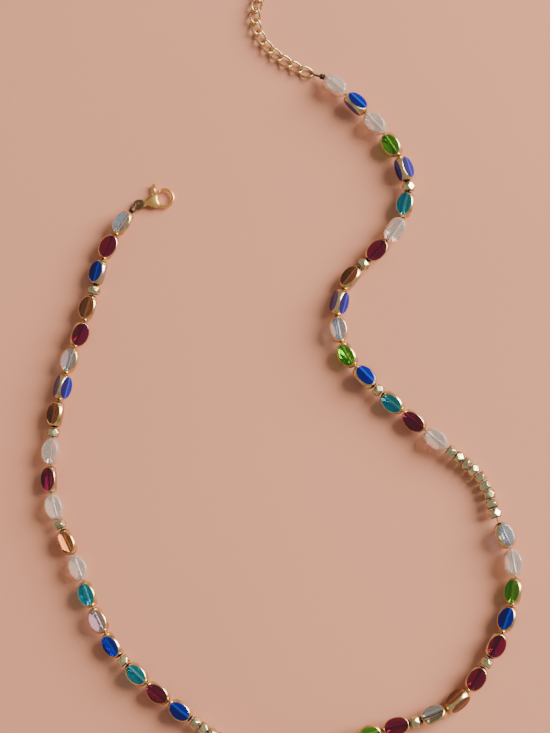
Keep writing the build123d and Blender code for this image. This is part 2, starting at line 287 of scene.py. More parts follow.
# %% Fields and finishes
class Field:
    """A socket that can be added, subtracted and multiplied."""

    def __init__(self, finish, socket):
        self.finish, self.socket = finish, socket

    def maths(self, operation, a, b):
        return self.finish.node("ShaderNodeMath", {"operation": operation}, {0: a, 1: b})

    def __add__(self, other):
        return self.maths("ADD", self, other)

    def __sub__(self, other):
        return self.maths("SUBTRACT", self, other)

    def __rsub__(self, other):
        return self.maths("SUBTRACT", other, self)

    def __mul__(self, other):
        return self.maths("MULTIPLY", self, other)

    __radd__ = __add__
    __rmul__ = __mul__


class Finish:
    """A material in the making."""

    def __init__(self, name):
        self.material = bpy.data.materials.new(name)
        self.material.use_nodes = True
        self.tree = self.material.node_tree
        self.tree.nodes.clear()
        self.place = self.node("ShaderNodeTexCoord", output="Object")

    def node(self, kind, settings=None, inputs=None, output=0):
        """Add one node: its settings first, then a value or a Field for each input."""
        node = self.tree.nodes.new(kind)
        for key, value in (settings or {}).items():
            setattr(node, key, value)
        for key, value in (inputs or {}).items():
            if isinstance(value, Field):
                self.tree.links.new(value.socket, node.inputs[key])
            else:
                node.inputs[key].default_value = value
        return Field(self, node.outputs[output]) if node.outputs else None

    def noise(self, scale, detail=2, stretch=None):
        """Noise of about one blotch per 1/scale metres, from 0 to 1."""
        place = self.place
        if stretch:
            place = self.node("ShaderNodeVectorMath", {"operation": "MULTIPLY"},
                              {0: place, 1: stretch})
        return self.node("ShaderNodeTexNoise", None,
                         {"Vector": place, "Scale": scale, "Detail": detail})

    def ramp(self, field, low, high):
        """0 below low, 1 above high, and smooth between them."""
        settings = {"interpolation_type": "SMOOTHSTEP"}
        return self.node("ShaderNodeMapRange", settings,
                         {"Value": field, "From Min": low, "From Max": high})

    def value(self, name):
        """A number that the piece's mesh carries at each point."""
        return self.node("ShaderNodeAttribute", {"attribute_name": name}, output="Fac")

    def mix(self, share, a, b):
        """Colour a, changing to colour b as share goes from 0 to 1."""
        return self.node("ShaderNodeMix", {"data_type": "RGBA"}, {0: share, 6: a, 7: b}, 2)

    def bump(self, height, depth):
        """Normals of a surface that rises by depth metres where height is 1."""
        return self.node("ShaderNodeBump", None,
                         {"Height": height, "Strength": 1.0, "Distance": depth})

    def surface(self, **inputs):
        """The main shader, with its inputs by name; _ stands for a space."""
        named = {key.replace("_", " "): value for key, value in inputs.items()}
        return self.node("ShaderNodeBsdfPrincipled", None, named)

    def done(self, shader):
        """Join the shader to the material's output and hand the material over."""
        self.node("ShaderNodeOutputMaterial", None, {"Surface": shader})
        return self.material


def rgb(red, green, blue):
    """An opaque colour."""
    return (red, green, blue, 1.0)


# %% [markdown]
# ## Window-cut glass
#
# The real bead is pressed glass, coated all over with vacuum-deposited gold, and then ground
# flat on three sides, so that the colour shows only through the windows. One material holds
# both: a mask from the mesh says how far a point is from the edge of its window, and a Mix
# Shader picks glass or gold. The edge wanders a little, as ground coating does. The pale beads
# have a thin pearl coat in place of the gold, which lets light through.
# In the windows, the side towards the lamp is painted paler, a painted light, with a painted
# glint line along it.

# %% The glass finish
GOLD = rgb(0.84, 0.63, 0.30)
BRONZE = rgb(0.46, 0.31, 0.13)
GLASS_IOR = 1.52
GLASS_SPECULAR = 0.35
FILM_IOR = 1.6
COAT_CLEAR = 0.7
POLISH_DEPTH = 0.02 * MM
# Painted light and painted glint in the windows, and how far their edges wander: in millimetres
# from a window's middle line, towards the lamp.
PAINTED_LIT_FROM, PAINTED_LIT_TO = -0.5, 1.6
PAINTED_GLINT_RISE = (-0.05, 0.35)
PAINTED_GLINT_FALL = (0.55, 0.95)
PAINTED_GLINT_SHARE = 0.8
PAINTED_LIGHT_WANDER = 0.5
# In millimetres across a window's rim.
RIM_WANDER = 0.22
RIM_BLUR = 0.05


def window_glass(name, tint, painted_lit_tint, painted_glint, clear=0.8, coat=None, film=0.0):
    """Glass in the windows, and a coat on the rest. The glass turns from its tint to a paler
    colour on the side towards the lamp, a painted light, with a painted glint line along it."""
    finish = Finish(name)
    # Painted light: paler towards the lamp, with a painted glint line along it.
    across = finish.value("across") + PAINTED_LIGHT_WANDER * (finish.noise(420, 3) - 0.5)
    painted_lit_share = finish.ramp(across, PAINTED_LIT_FROM, PAINTED_LIT_TO)
    line = finish.ramp(across, *PAINTED_GLINT_RISE) * (1 - finish.ramp(across, *PAINTED_GLINT_FALL))
    glass = finish.surface(
        Base_Color=finish.mix(PAINTED_GLINT_SHARE * line, finish.mix(painted_lit_share, tint, painted_lit_tint), painted_glint),
        Roughness=0.03 + 0.05 * finish.noise(900),
        IOR=GLASS_IOR, Specular_IOR_Level=GLASS_SPECULAR, Transmission_Weight=clear,
        Thin_Film_Thickness=film, Thin_Film_IOR=FILM_IOR,
        Normal=finish.bump(finish.noise(500, 1), POLISH_DEPTH),
    )
    rim = finish.value("rim") + (finish.noise(2200, 2) - 0.5) * RIM_WANDER
    light, dark = coat or (GOLD, BRONZE)
    coating = finish.surface(
        Base_Color=finish.mix(finish.ramp(finish.noise(650, 3), 0.38, 0.78), light, dark),
        Metallic=1.0 if coat is None else 0.0,
        Roughness=0.12 + 0.22 * finish.noise(1300, 3),
        Transmission_Weight=0.0 if coat is None else COAT_CLEAR,
        Thin_Film_Thickness=film, Thin_Film_IOR=FILM_IOR,
        Normal=finish.bump(finish.noise(1600, 3), POLISH_DEPTH),
    )
    share = finish.ramp(rim, -RIM_BLUR, RIM_BLUR)
    return finish.done(finish.node("ShaderNodeMixShader", None,
                                   {0: share, 1: glass, 2: coating}))


# The painted glint colour of the pale glasses.
PAINTED_GLINT_WHITE = rgb(0.97, 0.97, 0.97)
PEARL = (rgb(0.96, 0.66, 0.48), rgb(0.62, 0.44, 0.36))
# Each glass: its tint, its painted lit colour, its painted glint colour, then how clear it is;
# the pearl also has its coat and a thin film.
glasses = {
    "R": window_glass("glass_ruby", rgb(0.09, 0.0, 0.02), rgb(0.27, 0.0, 0.06),
                      rgb(0.26, 0.0, 0.06), 0.85),
    "B": window_glass("glass_cobalt", rgb(0.0, 0.001, 0.12), rgb(0.0, 0.008, 0.36),
                      rgb(0.01, 0.10, 0.80), 0.5),
    "T": window_glass("glass_teal", rgb(0.0, 0.15, 0.24), rgb(0.0, 0.40, 0.52),
                      rgb(0.25, 0.80, 0.90)),
    "G": window_glass("glass_green", rgb(0.02, 0.15, 0.0), rgb(0.14, 0.46, 0.0),
                      rgb(0.42, 0.80, 0.10)),
    "A": window_glass("glass_amber", rgb(0.13, 0.04, 0.01), rgb(0.48, 0.13, 0.02),
                      rgb(0.72, 0.38, 0.18)),
    "C": window_glass("glass_crystal", rgb(0.44, 0.60, 0.84), rgb(0.88, 0.80, 0.80), PAINTED_GLINT_WHITE, 0.93),
    "L": window_glass("glass_lilac", rgb(0.52, 0.40, 0.60), rgb(0.82, 0.76, 0.90), PAINTED_GLINT_WHITE, 0.95),
    "S": window_glass("glass_smoke", rgb(0.34, 0.33, 0.30), rgb(0.60, 0.58, 0.56), PAINTED_GLINT_WHITE, 0.95),
    "P": window_glass("glass_pearl", rgb(0.68, 0.60, 0.50), rgb(0.96, 0.85, 0.76), PAINTED_GLINT_WHITE, 0.8,
                      PEARL, 380.0),
}
print("glass colours:", len(glasses))

# %% [markdown]
# ## Oval beads
#
# The bead is a barrel, an ellipsoid with blunt ends, met by three flat windows. Its radius at
# any point is the least of the barrel's and the nearest window's. A soft least, a power mean
# with a high power, rounds the ground edges slightly, as polishing does. A radius as a
# function of two parameters also gives the window mask for nothing: window minus barrel.

# %% The surface of an oval bead
OVAL_RINGS = 52
OVAL_AROUND = 78
EDGE_POWER = 46
OVAL_BORE = np.array([0.985, 0.6, 0, -0.6, -0.985])     # rings in the bore, by half lengths
IN_BORE = -1.0                                          # the mask's value there: glass
WINDOW_CHANCE = (-0.08 * MM, 0.04 * MM)
LIGHT_HEADING = 26
LIGHT_WAY = np.array([cos(radians(LIGHT_HEADING)), sin(radians(LIGHT_HEADING)), 0])
oval_curve = OVAL_LENGTH / 2 / sqrt(1 - (OVAL_END_DIAMETER / OVAL_DIAMETER) ** 2)


def oval_surface(window_distances):
    """Along, outward, angle, rim and across for beads whose windows are that far from the
    bore. Outward = (barrel^-p + window^-p)^(-1/p), then back through the bore. across is how
    far a point is from its window's middle line: distance x tan(angle)."""
    sweep = np.linspace(-pi / 2, pi / 2, OVAL_RINGS)
    along = OVAL_LENGTH / 2 * np.sin(sweep)[None, :, None]
    angle = np.linspace(0, 2 * pi, OVAL_AROUND, endpoint=False)[None, None, :]
    barrel = OVAL_DIAMETER / 2 * np.sqrt(1 - (along / oval_curve) ** 2)
    from_window = (angle + pi / 3) % (2 * pi / 3) - pi / 3
    crown = 1 - WINDOW_CROWN * (along / oval_curve) ** 2
    window = window_distances[:, None, None] * crown / np.cos(from_window)
    outward = (barrel ** -EDGE_POWER + window ** -EDGE_POWER) ** (-1 / EDGE_POWER)
    rim = (window - barrel) / MM
    across = window_distances[:, None, None] / MM * np.tan(from_window)
    inside = OVAL_LENGTH / 2 * OVAL_BORE[None, :, None]
    shape = (len(window_distances), len(OVAL_BORE), OVAL_AROUND)
    along = np.concatenate([np.broadcast_to(along, outward.shape),
                            np.broadcast_to(inside, shape)], 1)
    outward = np.concatenate([outward, np.full(shape, BORE_RADIUS)], 1)
    rim = np.concatenate([rim, np.full(shape, IN_BORE)], 1)
    return along, outward, angle, rim, np.broadcast_to(across, outward.shape)


# %% Make the ovals of each section
oval_indices = np.array([i for i, kind in enumerate(bead_kinds) if kind != "n"])
oval_rolls = np.radians(np.array(OVAL_ROLLS, float))
window_cuts = np.array([RUBY_WINDOW_DISTANCE if bead_kinds[i] == "R" else WINDOW_DISTANCE
                        for i in oval_indices])
window_cuts += random.uniform(*WINDOW_CHANCE, len(oval_indices))
oval_faces = (OVAL_RINGS + len(OVAL_BORE)) * OVAL_AROUND
for number in range(len(SECTIONS)):
    chosen = np.flatnonzero(section_of[oval_indices] == number)
    if not len(chosen):
        continue
    along, outward, angle, rim, across = oval_surface(window_cuts[chosen])
    points = stand(oval_indices[chosen], oval_rolls[chosen], along, outward, angle)
    # The sign that turns each window's across towards the lamp, where the painted light and
    # painted glint go.
    lit_side = -np.sign(lefts[oval_indices[chosen]] @ LIGHT_WAY)[:, None, None]
    piece = skin(f"glass_ovals_{number + 1:02d}", points, True, rim=rim, across=across * lit_side)
    kinds = [bead_kinds[i] for i in oval_indices[chosen]]
    palette = sorted(set(kinds))
    for kind in palette:
        piece.data.materials.append(glasses[kind])
    piece.data.polygons.foreach_set(
        "material_index", np.repeat([palette.index(kind) for kind in kinds], oval_faces)
    )
    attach(piece, f"strand_{number + 1:02d}")
    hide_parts(f"oval_beads_{number + 1:02d}")
print("ovals:", len(oval_indices), "faces each:", oval_faces)

# %% [markdown]
# ## Metals
#
# The metals differ in colour and in how they are worn. Nuggets are plated brass with a
# greenish, antique cast, brighter where their edges rub, with painted shade on their ends where
# they face each other. The chain is a browner brass, and the clasp, further down, a warm gold
# with painted shade in its seam and round its tail. The wire is coated steel, and the crimps
# are dull gunmetal.

# %% Metal finishes
# Painted shade for recesses, nearly black.
PAINTED_RECESS_SHADE = rgb(0.035, 0.03, 0.015)
# Painted brown shade round a place.
PAINTED_PLACE_SHADE = rgb(0.20, 0.13, 0.07)
EDGE_RUB = 0.8      # the share of the tarnish that wear takes off an edge


def plated(name, light, dark, blotch, roughness, scratches=0.01, worn=False, old=None):
    """Plated metal: light colour, darker in blotches. A worn and shaded metal is brighter at its
    mesh's edges, where wear takes the tarnish off, and has painted shade, nearly black, in its
    recesses. The last argument is a place, in metres, with painted brown shade round it, and how
    far that painted shade reaches."""
    finish = Finish(name)
    tarnish = finish.ramp(finish.noise(blotch, 4), 0.42, 0.8)
    grain = finish.noise(2600, 3, (1.0, 0.25, 0.6))
    if worn:
        tarnish = tarnish * (1 - EDGE_RUB * finish.value("edge"))
    colour = finish.mix(tarnish, light, dark)
    # Painted shade: nearly black where the mesh marks its recesses.
    if worn:
        colour = finish.mix(finish.value("recess"), colour, PAINTED_RECESS_SHADE)
    # Painted shade: brown round the given place, fading out at its reach.
    if old:
        place, reach = old
        away = finish.node("ShaderNodeVectorMath", {"operation": "DISTANCE"},
                           {0: finish.place, 1: place}, 1)
        colour = finish.mix(finish.ramp(away, 0.7 * reach, reach), PAINTED_PLACE_SHADE, colour)
    return finish.done(finish.surface(
        Base_Color=colour, Metallic=1.0,
        Roughness=roughness + 0.2 * tarnish + 0.08 * grain,
        Normal=finish.bump(grain, scratches * MM),
    ))


nugget_metal = plated("nugget_metal", rgb(0.72, 0.65, 0.36), rgb(0.24, 0.20, 0.09),
                      500, 0.16, worn=True)
chain_gold = plated("chain_gold", rgb(0.68, 0.50, 0.24), rgb(0.38, 0.26, 0.11), 450, 0.3)
wire_metal = plated("wire_metal", rgb(0.16, 0.13, 0.08), rgb(0.06, 0.05, 0.03), 900, 0.55)
crimp_metal = plated("crimp_metal", rgb(0.11, 0.08, 0.055), rgb(0.04, 0.03, 0.02), 700, 0.55)
print("metals: nugget, chain, wire and crimp")

# %% [markdown]
# ## Nuggets
#
# A nugget is a little cube with its corners cut away: six flat faces and eight slanted cuts.
# Seen from its middle, the distance to the surface in any direction is the least of the
# distances to those fourteen planes. The same soft least rounds the tumbled edges, and a
# little chance in each plane's distance makes every nugget its own.

# %% The surface of a nugget
NUGGET_RINGS = 40
NUGGET_AROUND = 56
TUMBLE_POWER = 40
NUGGET_CHANCE = 0.035                   # the most that a plane is drawn in, as a share
NUGGET_BORE = np.array([-0.96, -0.3, 0.3, 0.96])    # rings in the bore, by half lengths
BORE_SHARE = 0.95
# Where the painted shade on a nugget's end faces begins, where its edges begin, and how fast both
# fade in.
PAINTED_SHADE_FROM, EDGE_FROM, FADE = 0.78, 0.86, 0.14
slant, level = sin(NUGGET_TAPER), cos(NUGGET_TAPER) / sqrt(2)
plane_normals = np.array(
    [(s, 0, 0) for s in (1, -1)] + [(0, s, 0) for s in (1, -1)] + [(0, 0, s) for s in (1, -1)]
    + [(a * slant, b * level, c * level) for a in (1, -1) for b in (1, -1) for c in (1, -1)]
)
plane_distances = np.array(
    [NUGGET_LENGTH / 2] * 2 + [NUGGET_WIDTH / 2] * 4 + [NUGGET_CORNER * cos(NUGGET_TAPER)] * 8
)


def nugget_surface(count):
    """Along, outward, angle, edge and painted shade for count nuggets. Reach in a direction u is
    (sum of (n.u / d)^p)^(-1/p) over the planes with normal n at distance d. A point is on an
    edge where its two nearest planes tie, and gets painted shade where it is near an end face,
    which the next nugget shades."""
    tilt_least = atan(BORE_RADIUS / (NUGGET_LENGTH / 2))
    tilt = np.linspace(tilt_least, pi - tilt_least, NUGGET_RINGS)[:, None]
    angle = np.linspace(0, 2 * pi, NUGGET_AROUND, endpoint=False)[None, :]
    looks = np.stack(np.broadcast_arrays(
        np.cos(tilt), -np.sin(tilt) * np.sin(angle), np.sin(tilt) * np.cos(angle)), -1)
    chance = NUGGET_CHANCE * random.random((count, len(plane_distances)))
    planes = plane_distances * (1 - chance)
    near = np.maximum(looks @ plane_normals.T, 0)[None] / planes[:, None, None]
    reach = (near ** TUMBLE_POWER).sum(-1) ** (-1 / TUMBLE_POWER)
    endwise = np.abs(reach * np.cos(tilt)) / plane_distances[0]
    # Painted shade on the end faces, where the nuggets shade each other.
    recess = np.clip((endwise - PAINTED_SHADE_FROM) / FADE, 0, 1)
    ranked = np.sort(near, -1)
    edge = np.clip((ranked[..., -2] / ranked[..., -1] - EDGE_FROM) / FADE, 0, 1)
    inside = NUGGET_BORE[None, :, None] * NUGGET_LENGTH / 2
    shape = (count, len(NUGGET_BORE), NUGGET_AROUND)
    along = np.concatenate([reach * np.cos(tilt), np.broadcast_to(inside, shape)], 1)
    outward = np.concatenate([reach * np.sin(tilt), np.full(shape, BORE_SHARE * BORE_RADIUS)], 1)
    edge = np.concatenate([edge, np.zeros(shape)], 1)
    recess = np.concatenate([recess, np.ones(shape)], 1)
    return along, outward, angle[None], edge, recess


# %% Make the nuggets of each section
nugget_indices = np.array([i for i, kind in enumerate(bead_kinds) if kind == "n"])
for number in range(len(SECTIONS)):
    chosen = nugget_indices[section_of[nugget_indices] == number]
    if not len(chosen):
        continue
    along, outward, angle, edge, recess = nugget_surface(len(chosen))
    rolls = np.radians(chosen * NUGGET_ROLL_STEP % 90.0)
    points = stand(chosen, rolls, along, outward, angle)
    piece = skin(f"metal_nuggets_{number + 1:02d}", points, True, edge=edge, recess=recess)
    piece.data.materials.append(nugget_metal)
    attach(piece, f"strand_{number + 1:02d}")
    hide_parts(f"nugget_beads_{number + 1:02d}")
print("nuggets:", len(nugget_indices))

# %% [markdown]
# ## The beading wire
#
# Beading wire is a fine cable: six strands twisted round a core. The strap hinges between
# sections of beads, so each section has its own length of wire, with a rounded end on each
# hinge. The cable's lay is a gentle ripple of the radius that turns as it goes along.

# %% A twisted wire along a line
WIRE_AROUND = 24
WIRE_STEP = 0.2 * MM
STRANDS = 6
LAY = 2.2 * MM
RIPPLE = 0.07
END_INSET = 0.92


def resample(line, step):
    """The same line at even steps, eased a little where it bends."""
    travelled = distances(line)
    count = max(4, int(round(travelled[-1] / step)) + 1)
    even = np.linspace(0, travelled[-1], count)
    points = np.stack([np.interp(even, travelled, line[:, i]) for i in range(3)], -1)
    eased = points.copy()
    eased[1:-1] = (points[:-2] + 2 * points[1:-1] + points[2:]) / 4
    return eased


def twisted_wire(name, line, side):
    """A ring of points round each point of the line. Its radius is that of the wire, less a
    ripple of one lobe per strand. The ends draw in as half a ball. side is never along it."""
    line = resample(line, WIRE_STEP)
    travelled = distances(line)
    tangents = unit(np.gradient(line, axis=0))
    across = unit(np.cross(tangents, side))
    over = np.cross(across, tangents)
    angle = np.linspace(0, 2 * pi, WIRE_AROUND, endpoint=False)[None, :]
    lobes = np.cos(STRANDS * (angle - 2 * pi * travelled[:, None] / LAY))
    to_end = np.minimum(travelled, travelled[-1] - travelled)[:, None]
    inset = np.clip(1 - to_end / WIRE_RADIUS, 0, END_INSET)
    radius = WIRE_RADIUS * (1 - RIPPLE + RIPPLE * lobes) * np.sqrt(1 - inset ** 2)
    ring = (np.cos(angle)[..., None] * across[:, None]
            + np.sin(angle)[..., None] * over[:, None])
    wire = skin(name, (line[:, None] + radius[..., None] * ring)[None], False)
    wire.data.materials.append(wire_metal)
    return wire


# %% [markdown]
# ## The two ends of the wire
#
# At each end the wire goes through a crimp, round the eye of the finding and back into the
# crimp. Both runs and the loop lie in one upright plane. The loop is a NURBS spline of the
# same corners that the CAD has, so it turns round the eye as softly as real wire does.

# %% Where the loops go
CRIMP_LENGTH = 1.3 * MM
CRIMP_RADIUS = 0.9 * MM
CRIMP_BORE_RADIUS = 0.55 * MM
CRIMP_LEAN = radians(30)
CRIMP_START = (0.25 * MM, -0.2 * MM)
WIRE_SPACING = 0.5 * MM
LOOP_RUN = 1.35 * MM
EYE_PIN_GAP = 0.16 * MM
EYE_HALF_THICKNESS = 0.4 * MM
LOOP_RISE = EYE_HALF_THICKNESS + EYE_PIN_GAP + WIRE_RADIUS
CLASP_HEIGHT = 1.1 * MM
CHAIN_HEIGHT = 1.173 * MM
CLASP_REACH = 1.55 * MM
CHAIN_REACH = 3.2 * MM


class WireEnd:
    """One end of the strand: an upright plane through its start, facing outwards, with the
    loop's line in it. The loop goes round a pin at reach from the crimp's far end."""

    def __init__(self, name, start, outwards, eye_height, reach):
        self.name, self.start, self.outwards = name, start, outwards
        across = np.array([sin(CRIMP_LEAN), cos(CRIMP_LEAN)]) * WIRE_SPACING / 2
        near, far = self.crimp_point(0), self.crimp_point(1)
        pin = far[0] + reach
        drop = eye_height - start[2]
        under = drop - LOOP_RISE
        flat = [(0, 0), near + across, far + across, (pin, drop + LOOP_RISE), (pin, under),
                (pin - LOOP_RUN, under), far - across, near - across]
        self.line = spline_points(name, [self.lift(x, y) for x, y in flat], 24)

    def crimp_point(self, share):
        """A point of the crimp's axis, in the plane, by share of its length."""
        run = CRIMP_LENGTH * share
        return np.array([CRIMP_START[0] + run * cos(CRIMP_LEAN),
                         CRIMP_START[1] - run * sin(CRIMP_LEAN)])

    def lift(self, x, y):
        """A point of the plane, in space: x outwards from the start and y up from it."""
        return self.start + x * self.outwards + np.array([0, 0, y])


clasp_outwards = unit((gaps[0] - gaps[1]) * [1, 1, 0])
CHAIN_HEADING = radians(160)
chain_outwards = np.array([cos(CHAIN_HEADING), sin(CHAIN_HEADING), 0])
clasp_end = WireEnd("clasp_end", gaps[0], clasp_outwards, CLASP_HEIGHT, CLASP_REACH)
chain_end = WireEnd("chain_end", gaps[-1], chain_outwards, CHAIN_HEIGHT, CHAIN_REACH)

# %% Make the wire
UP = np.array([0, 0, 1.0])
first_bead = np.concatenate([[0], np.cumsum([len(kinds) for kinds in SECTIONS])])
for number in range(len(SECTIONS)):
    line = gaps[first_bead[number]:first_bead[number + 1] + 1]
    wire = twisted_wire(f"wire_{number + 1:02d}", line, UP)
    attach(wire, f"strand_{number + 1:02d}")
    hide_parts("beading_wire")
for end, body in ((clasp_end, "strand_01"), (chain_end, "strand_22")):
    loop = twisted_wire(f"wire_loop_{end.name}", end.line, np.cross(UP, end.outwards))
    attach(loop, body)
    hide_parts("beading_wire")
print("wire sections:", len(SECTIONS), "and 2 loops")

# %% [markdown]
# ## Crimps
#
# A crimp is a soft metal tube squeezed round the two runs of wire. Its section is a circle
# pressed in at the sides, its mouth is rolled outwards, and the squeeze is deepest halfway.

# %% Make the crimps
CRIMP_RINGS = 17
CRIMP_AROUND = 40
CRIMP_PRESS = 0.10
CRIMP_ROUNDING = 0.4    # a lower power makes squarer mouths
CRIMP_BORE = np.array([0.9, 0.5, 0.1])      # rings in the bore, by length


def crimp(end):
    """Rings along the crimp's axis: out over a rounded barrel, then back through the bore.
    The sides are pressed in by a share that is greatest at mid-length."""
    way = np.linspace(0, pi, CRIMP_RINGS)
    wall = (CRIMP_RADIUS - CRIMP_BORE_RADIUS) * np.sin(way) ** CRIMP_ROUNDING
    out = np.stack([CRIMP_LENGTH * (1 - np.cos(way)) / 2, CRIMP_BORE_RADIUS + wall])
    back = np.stack([CRIMP_LENGTH * CRIMP_BORE, np.full(len(CRIMP_BORE), CRIMP_BORE_RADIUS)])
    along, radius = np.concatenate([out, back], 1)[:, :, None]
    angle = np.linspace(0, 2 * pi, CRIMP_AROUND, endpoint=False)[None, :]
    barrel = radius > CRIMP_BORE_RADIUS * 1.01
    pressed = CRIMP_PRESS * np.sin(pi * along / CRIMP_LENGTH) * barrel
    radius = radius * (1 - pressed * np.cos(angle) ** 2)
    axis = unit(end.lift(*end.crimp_point(1)) - end.lift(*end.crimp_point(0)))
    side = unit(np.cross(UP, end.outwards))
    over = np.cross(axis, side)
    ring = np.cos(angle)[..., None] * side + np.sin(angle)[..., None] * over
    start = end.lift(*end.crimp_point(0))
    return (start + along[..., None] * axis + radius[..., None] * ring)[None]


for end, body in ((clasp_end, "strand_01"), (chain_end, "strand_22")):
    piece = skin(f"crimp_tube_{end.name}", crimp(end), True)
    piece.data.materials.append(crimp_metal)
    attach(piece, body)
    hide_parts(f"crimp_{end.name}")
print("crimps: 2")

# %% [markdown]
# ## The curb chain
#
# A curb link is a ring twisted so that it lies flat against its neighbours. Its centre line
# is an ellipse that rises and falls twice on the way round, and round wire follows it. The
# links start at the wire's loop, and each is laid a pitch on from the last, turned a little.

# %% Make the links
LINK_HALF_LENGTH = 2.25 * MM
LINK_HALF_WIDTH = 1.45 * MM
LINK_WAVE = -0.75 * MM
LINK_WIRE_RADIUS = 0.35 * MM
LINK_PITCH = 3.6 * MM
LINK_RINGS = 80
LINK_AROUND = 24
LINK_TOLERANCE = 0.2 * MM
CHAIN_TURNS = [-10, -4, -5, -10, -13, -14, -15, -16, -16, -12, -10, -7, -4]


def link_surface(centre, heading):
    """Centre line (a cos t, b sin t, c sin 2t), with a ring of wire round each point."""
    t = np.linspace(0, 2 * pi, LINK_RINGS, endpoint=False)
    line = np.stack([LINK_HALF_LENGTH * np.cos(t), LINK_HALF_WIDTH * np.sin(t),
                     LINK_WAVE * np.sin(2 * t)], -1)
    ahead = unit(np.roll(line, -1, 0) - np.roll(line, 1, 0))
    outer = np.stack([np.cos(t) * LINK_HALF_WIDTH, np.sin(t) * LINK_HALF_LENGTH, 0 * t], -1)
    outer = unit(outer - (outer * ahead).sum(-1, keepdims=True) * ahead)
    over = np.cross(ahead, outer)
    angle = np.linspace(0, 2 * pi, LINK_AROUND, endpoint=False)[None, :, None]
    ring = np.cos(angle) * outer[:, None] + np.sin(angle) * over[:, None]
    points = line[:, None] + LINK_WIRE_RADIUS * ring
    turn = np.array([[cos(heading), sin(heading), 0], [-sin(heading), cos(heading), 0],
                     [0, 0, 1]])
    return (points @ turn + centre)[None]


heading = CHAIN_HEADING
pin = chain_end.lift(chain_end.crimp_point(1)[0] + CHAIN_REACH, 0)
first_reach = LINK_HALF_LENGTH - LINK_WIRE_RADIUS - WIRE_RADIUS - EYE_PIN_GAP
centre = np.array([*pin[:2], CHAIN_HEIGHT]) + first_reach * chain_outwards
for number, turn in enumerate([0, *CHAIN_TURNS]):
    if number:
        before = np.array([cos(heading), sin(heading), 0])
        heading += radians(turn)
        after = np.array([cos(heading), sin(heading), 0])
        centre = centre + (before + after) * LINK_PITCH / 2
    name = f"chain_link_{number:02d}" if number else "end_link"
    piece = skin(f"curb_{name}", link_surface(centre, heading), True)
    piece.data.materials.append(chain_gold)
    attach(piece, name)
    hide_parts(name)
    middle = (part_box(name)[0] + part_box(name)[1]) / 2
    assert (middle - Vector(centre)).length < LINK_TOLERANCE, name
print("links:", 1 + len(CHAIN_TURNS))

# %% [markdown]
# ## The lobster clasp
#
# The clasp is cast, tumbled and plated, so none of its edges is sharp. The CAD shape is right
# but has machined edges and flat faces. A copy is rebuilt from small cells and relaxed, which
# melts its edges as tumbling does. Then its faces are pillowed, so that the body is thickest
# in its middle, and a shallow seam is pressed where the lever's housing meets the body, with
# painted shade in it. The tail is painted darker, a painted shade. The lever gets three round
# lumps: its thumb tab, its fin and its tip. The rivet and the spring are machined parts and keep
# their shape.

# %% Cast copies of the clasp's parts
CELL = 0.055    # in millimetres, because in metres it would be under the least cell, 0.0001
MERGE_WITHIN = 0.001 * MM
BODY_ROUNDS = 36
LEVER_ROUNDS = 14
# How far the painted shade round the clasp's tail reaches.
TAIL_SHADE_REACH = 2.1 * MM
CLASP_HEADING = radians(11)
PIN_OFFSET = 0.49 * MM
BODY_MIDDLE = (4.3 * MM, 0.1 * MM)
BODY_REACH = (2.5 * MM, 2.1 * MM)
HOOK_RADIUS = 0.5 * MM
CROWN = 0.95
# Where round lumps are melted onto the lever, in the clasp's own axes, and their half sizes.
LEVER_LUMPS = [((5.6, 4.45), (0.72, 0.62, 0.85)), ((5.35, 3.4), (0.62, 1.1, 0.5)),
               ((6.9, 2.67), (0.42, 0.38, 0.38))]
# The seam between the lever's housing and the body: its two ends, half width and depth.
SEAM_ENDS = np.array([(2.75, 0.65), (5.3, 2.2)]) * MM
SEAM_HALF_WIDTH = 0.16 * MM
SEAM_DEPTH = 0.14 * MM
clasp_pin = clasp_end.lift(clasp_end.crimp_point(1)[0] + CLASP_REACH, 0)
clasp_axes = np.array([[cos(CLASP_HEADING), sin(CLASP_HEADING), 0],
                       [-sin(CLASP_HEADING), cos(CLASP_HEADING), 0], [0, 0, 1]])
clasp_origin = np.array([*clasp_pin[:2], CLASP_HEIGHT]) + PIN_OFFSET * clasp_axes[0]
# Warm gold, with painted shade in its seam and round its tail.
clasp_gold = plated("clasp_gold", rgb(0.92, 0.56, 0.18), rgb(0.62, 0.34, 0.10), 350, 0.28,
                    0.004, worn=True, old=(tuple(clasp_origin), TAIL_SHADE_REACH))


def crown(mesh):
    """Pillow the faces: what stands out beyond the hook wire's radius is drawn in by
    CROWN (x/a)^2 + (y/b)^2 from the middle of the body, so its rim is the thinnest. The seam
    is a groove, exp(-(distance/width)^2) deep, and the mesh keeps the same share as painted
    shade in the seam."""
    points = np.empty(len(mesh.vertices) * 3)
    mesh.vertices.foreach_get("co", points)
    local = (points.reshape(-1, 3) - clasp_origin) @ clasp_axes.T
    away = (((local[:, :2] - BODY_MIDDLE) / BODY_REACH) ** 2).sum(-1)
    height = np.abs(local[:, 2])
    proud = np.maximum(height - HOOK_RADIUS, 0) * (1 - CROWN * np.minimum(away, 1))
    seam = SEAM_ENDS[1] - SEAM_ENDS[0]
    along = np.clip((local[:, :2] - SEAM_ENDS[0]) @ seam / (seam @ seam), 0, 1)
    off = np.linalg.norm(local[:, :2] - SEAM_ENDS[0] - along[:, None] * seam, axis=1)
    groove = np.exp(-(off / SEAM_HALF_WIDTH) ** 2) * (height > HOOK_RADIUS)
    # The groove's share is kept on the mesh for painted shade in the seam.
    attribute = mesh.attributes.new("recess", "FLOAT", "POINT")
    attribute.data.foreach_set("value", groove.astype(np.float32))
    height = np.minimum(height, HOOK_RADIUS) + proud - SEAM_DEPTH * groove
    local[:, 2] = np.sign(local[:, 2]) * height
    mesh.vertices.foreach_set("co", (local @ clasp_axes + clasp_origin).ravel())


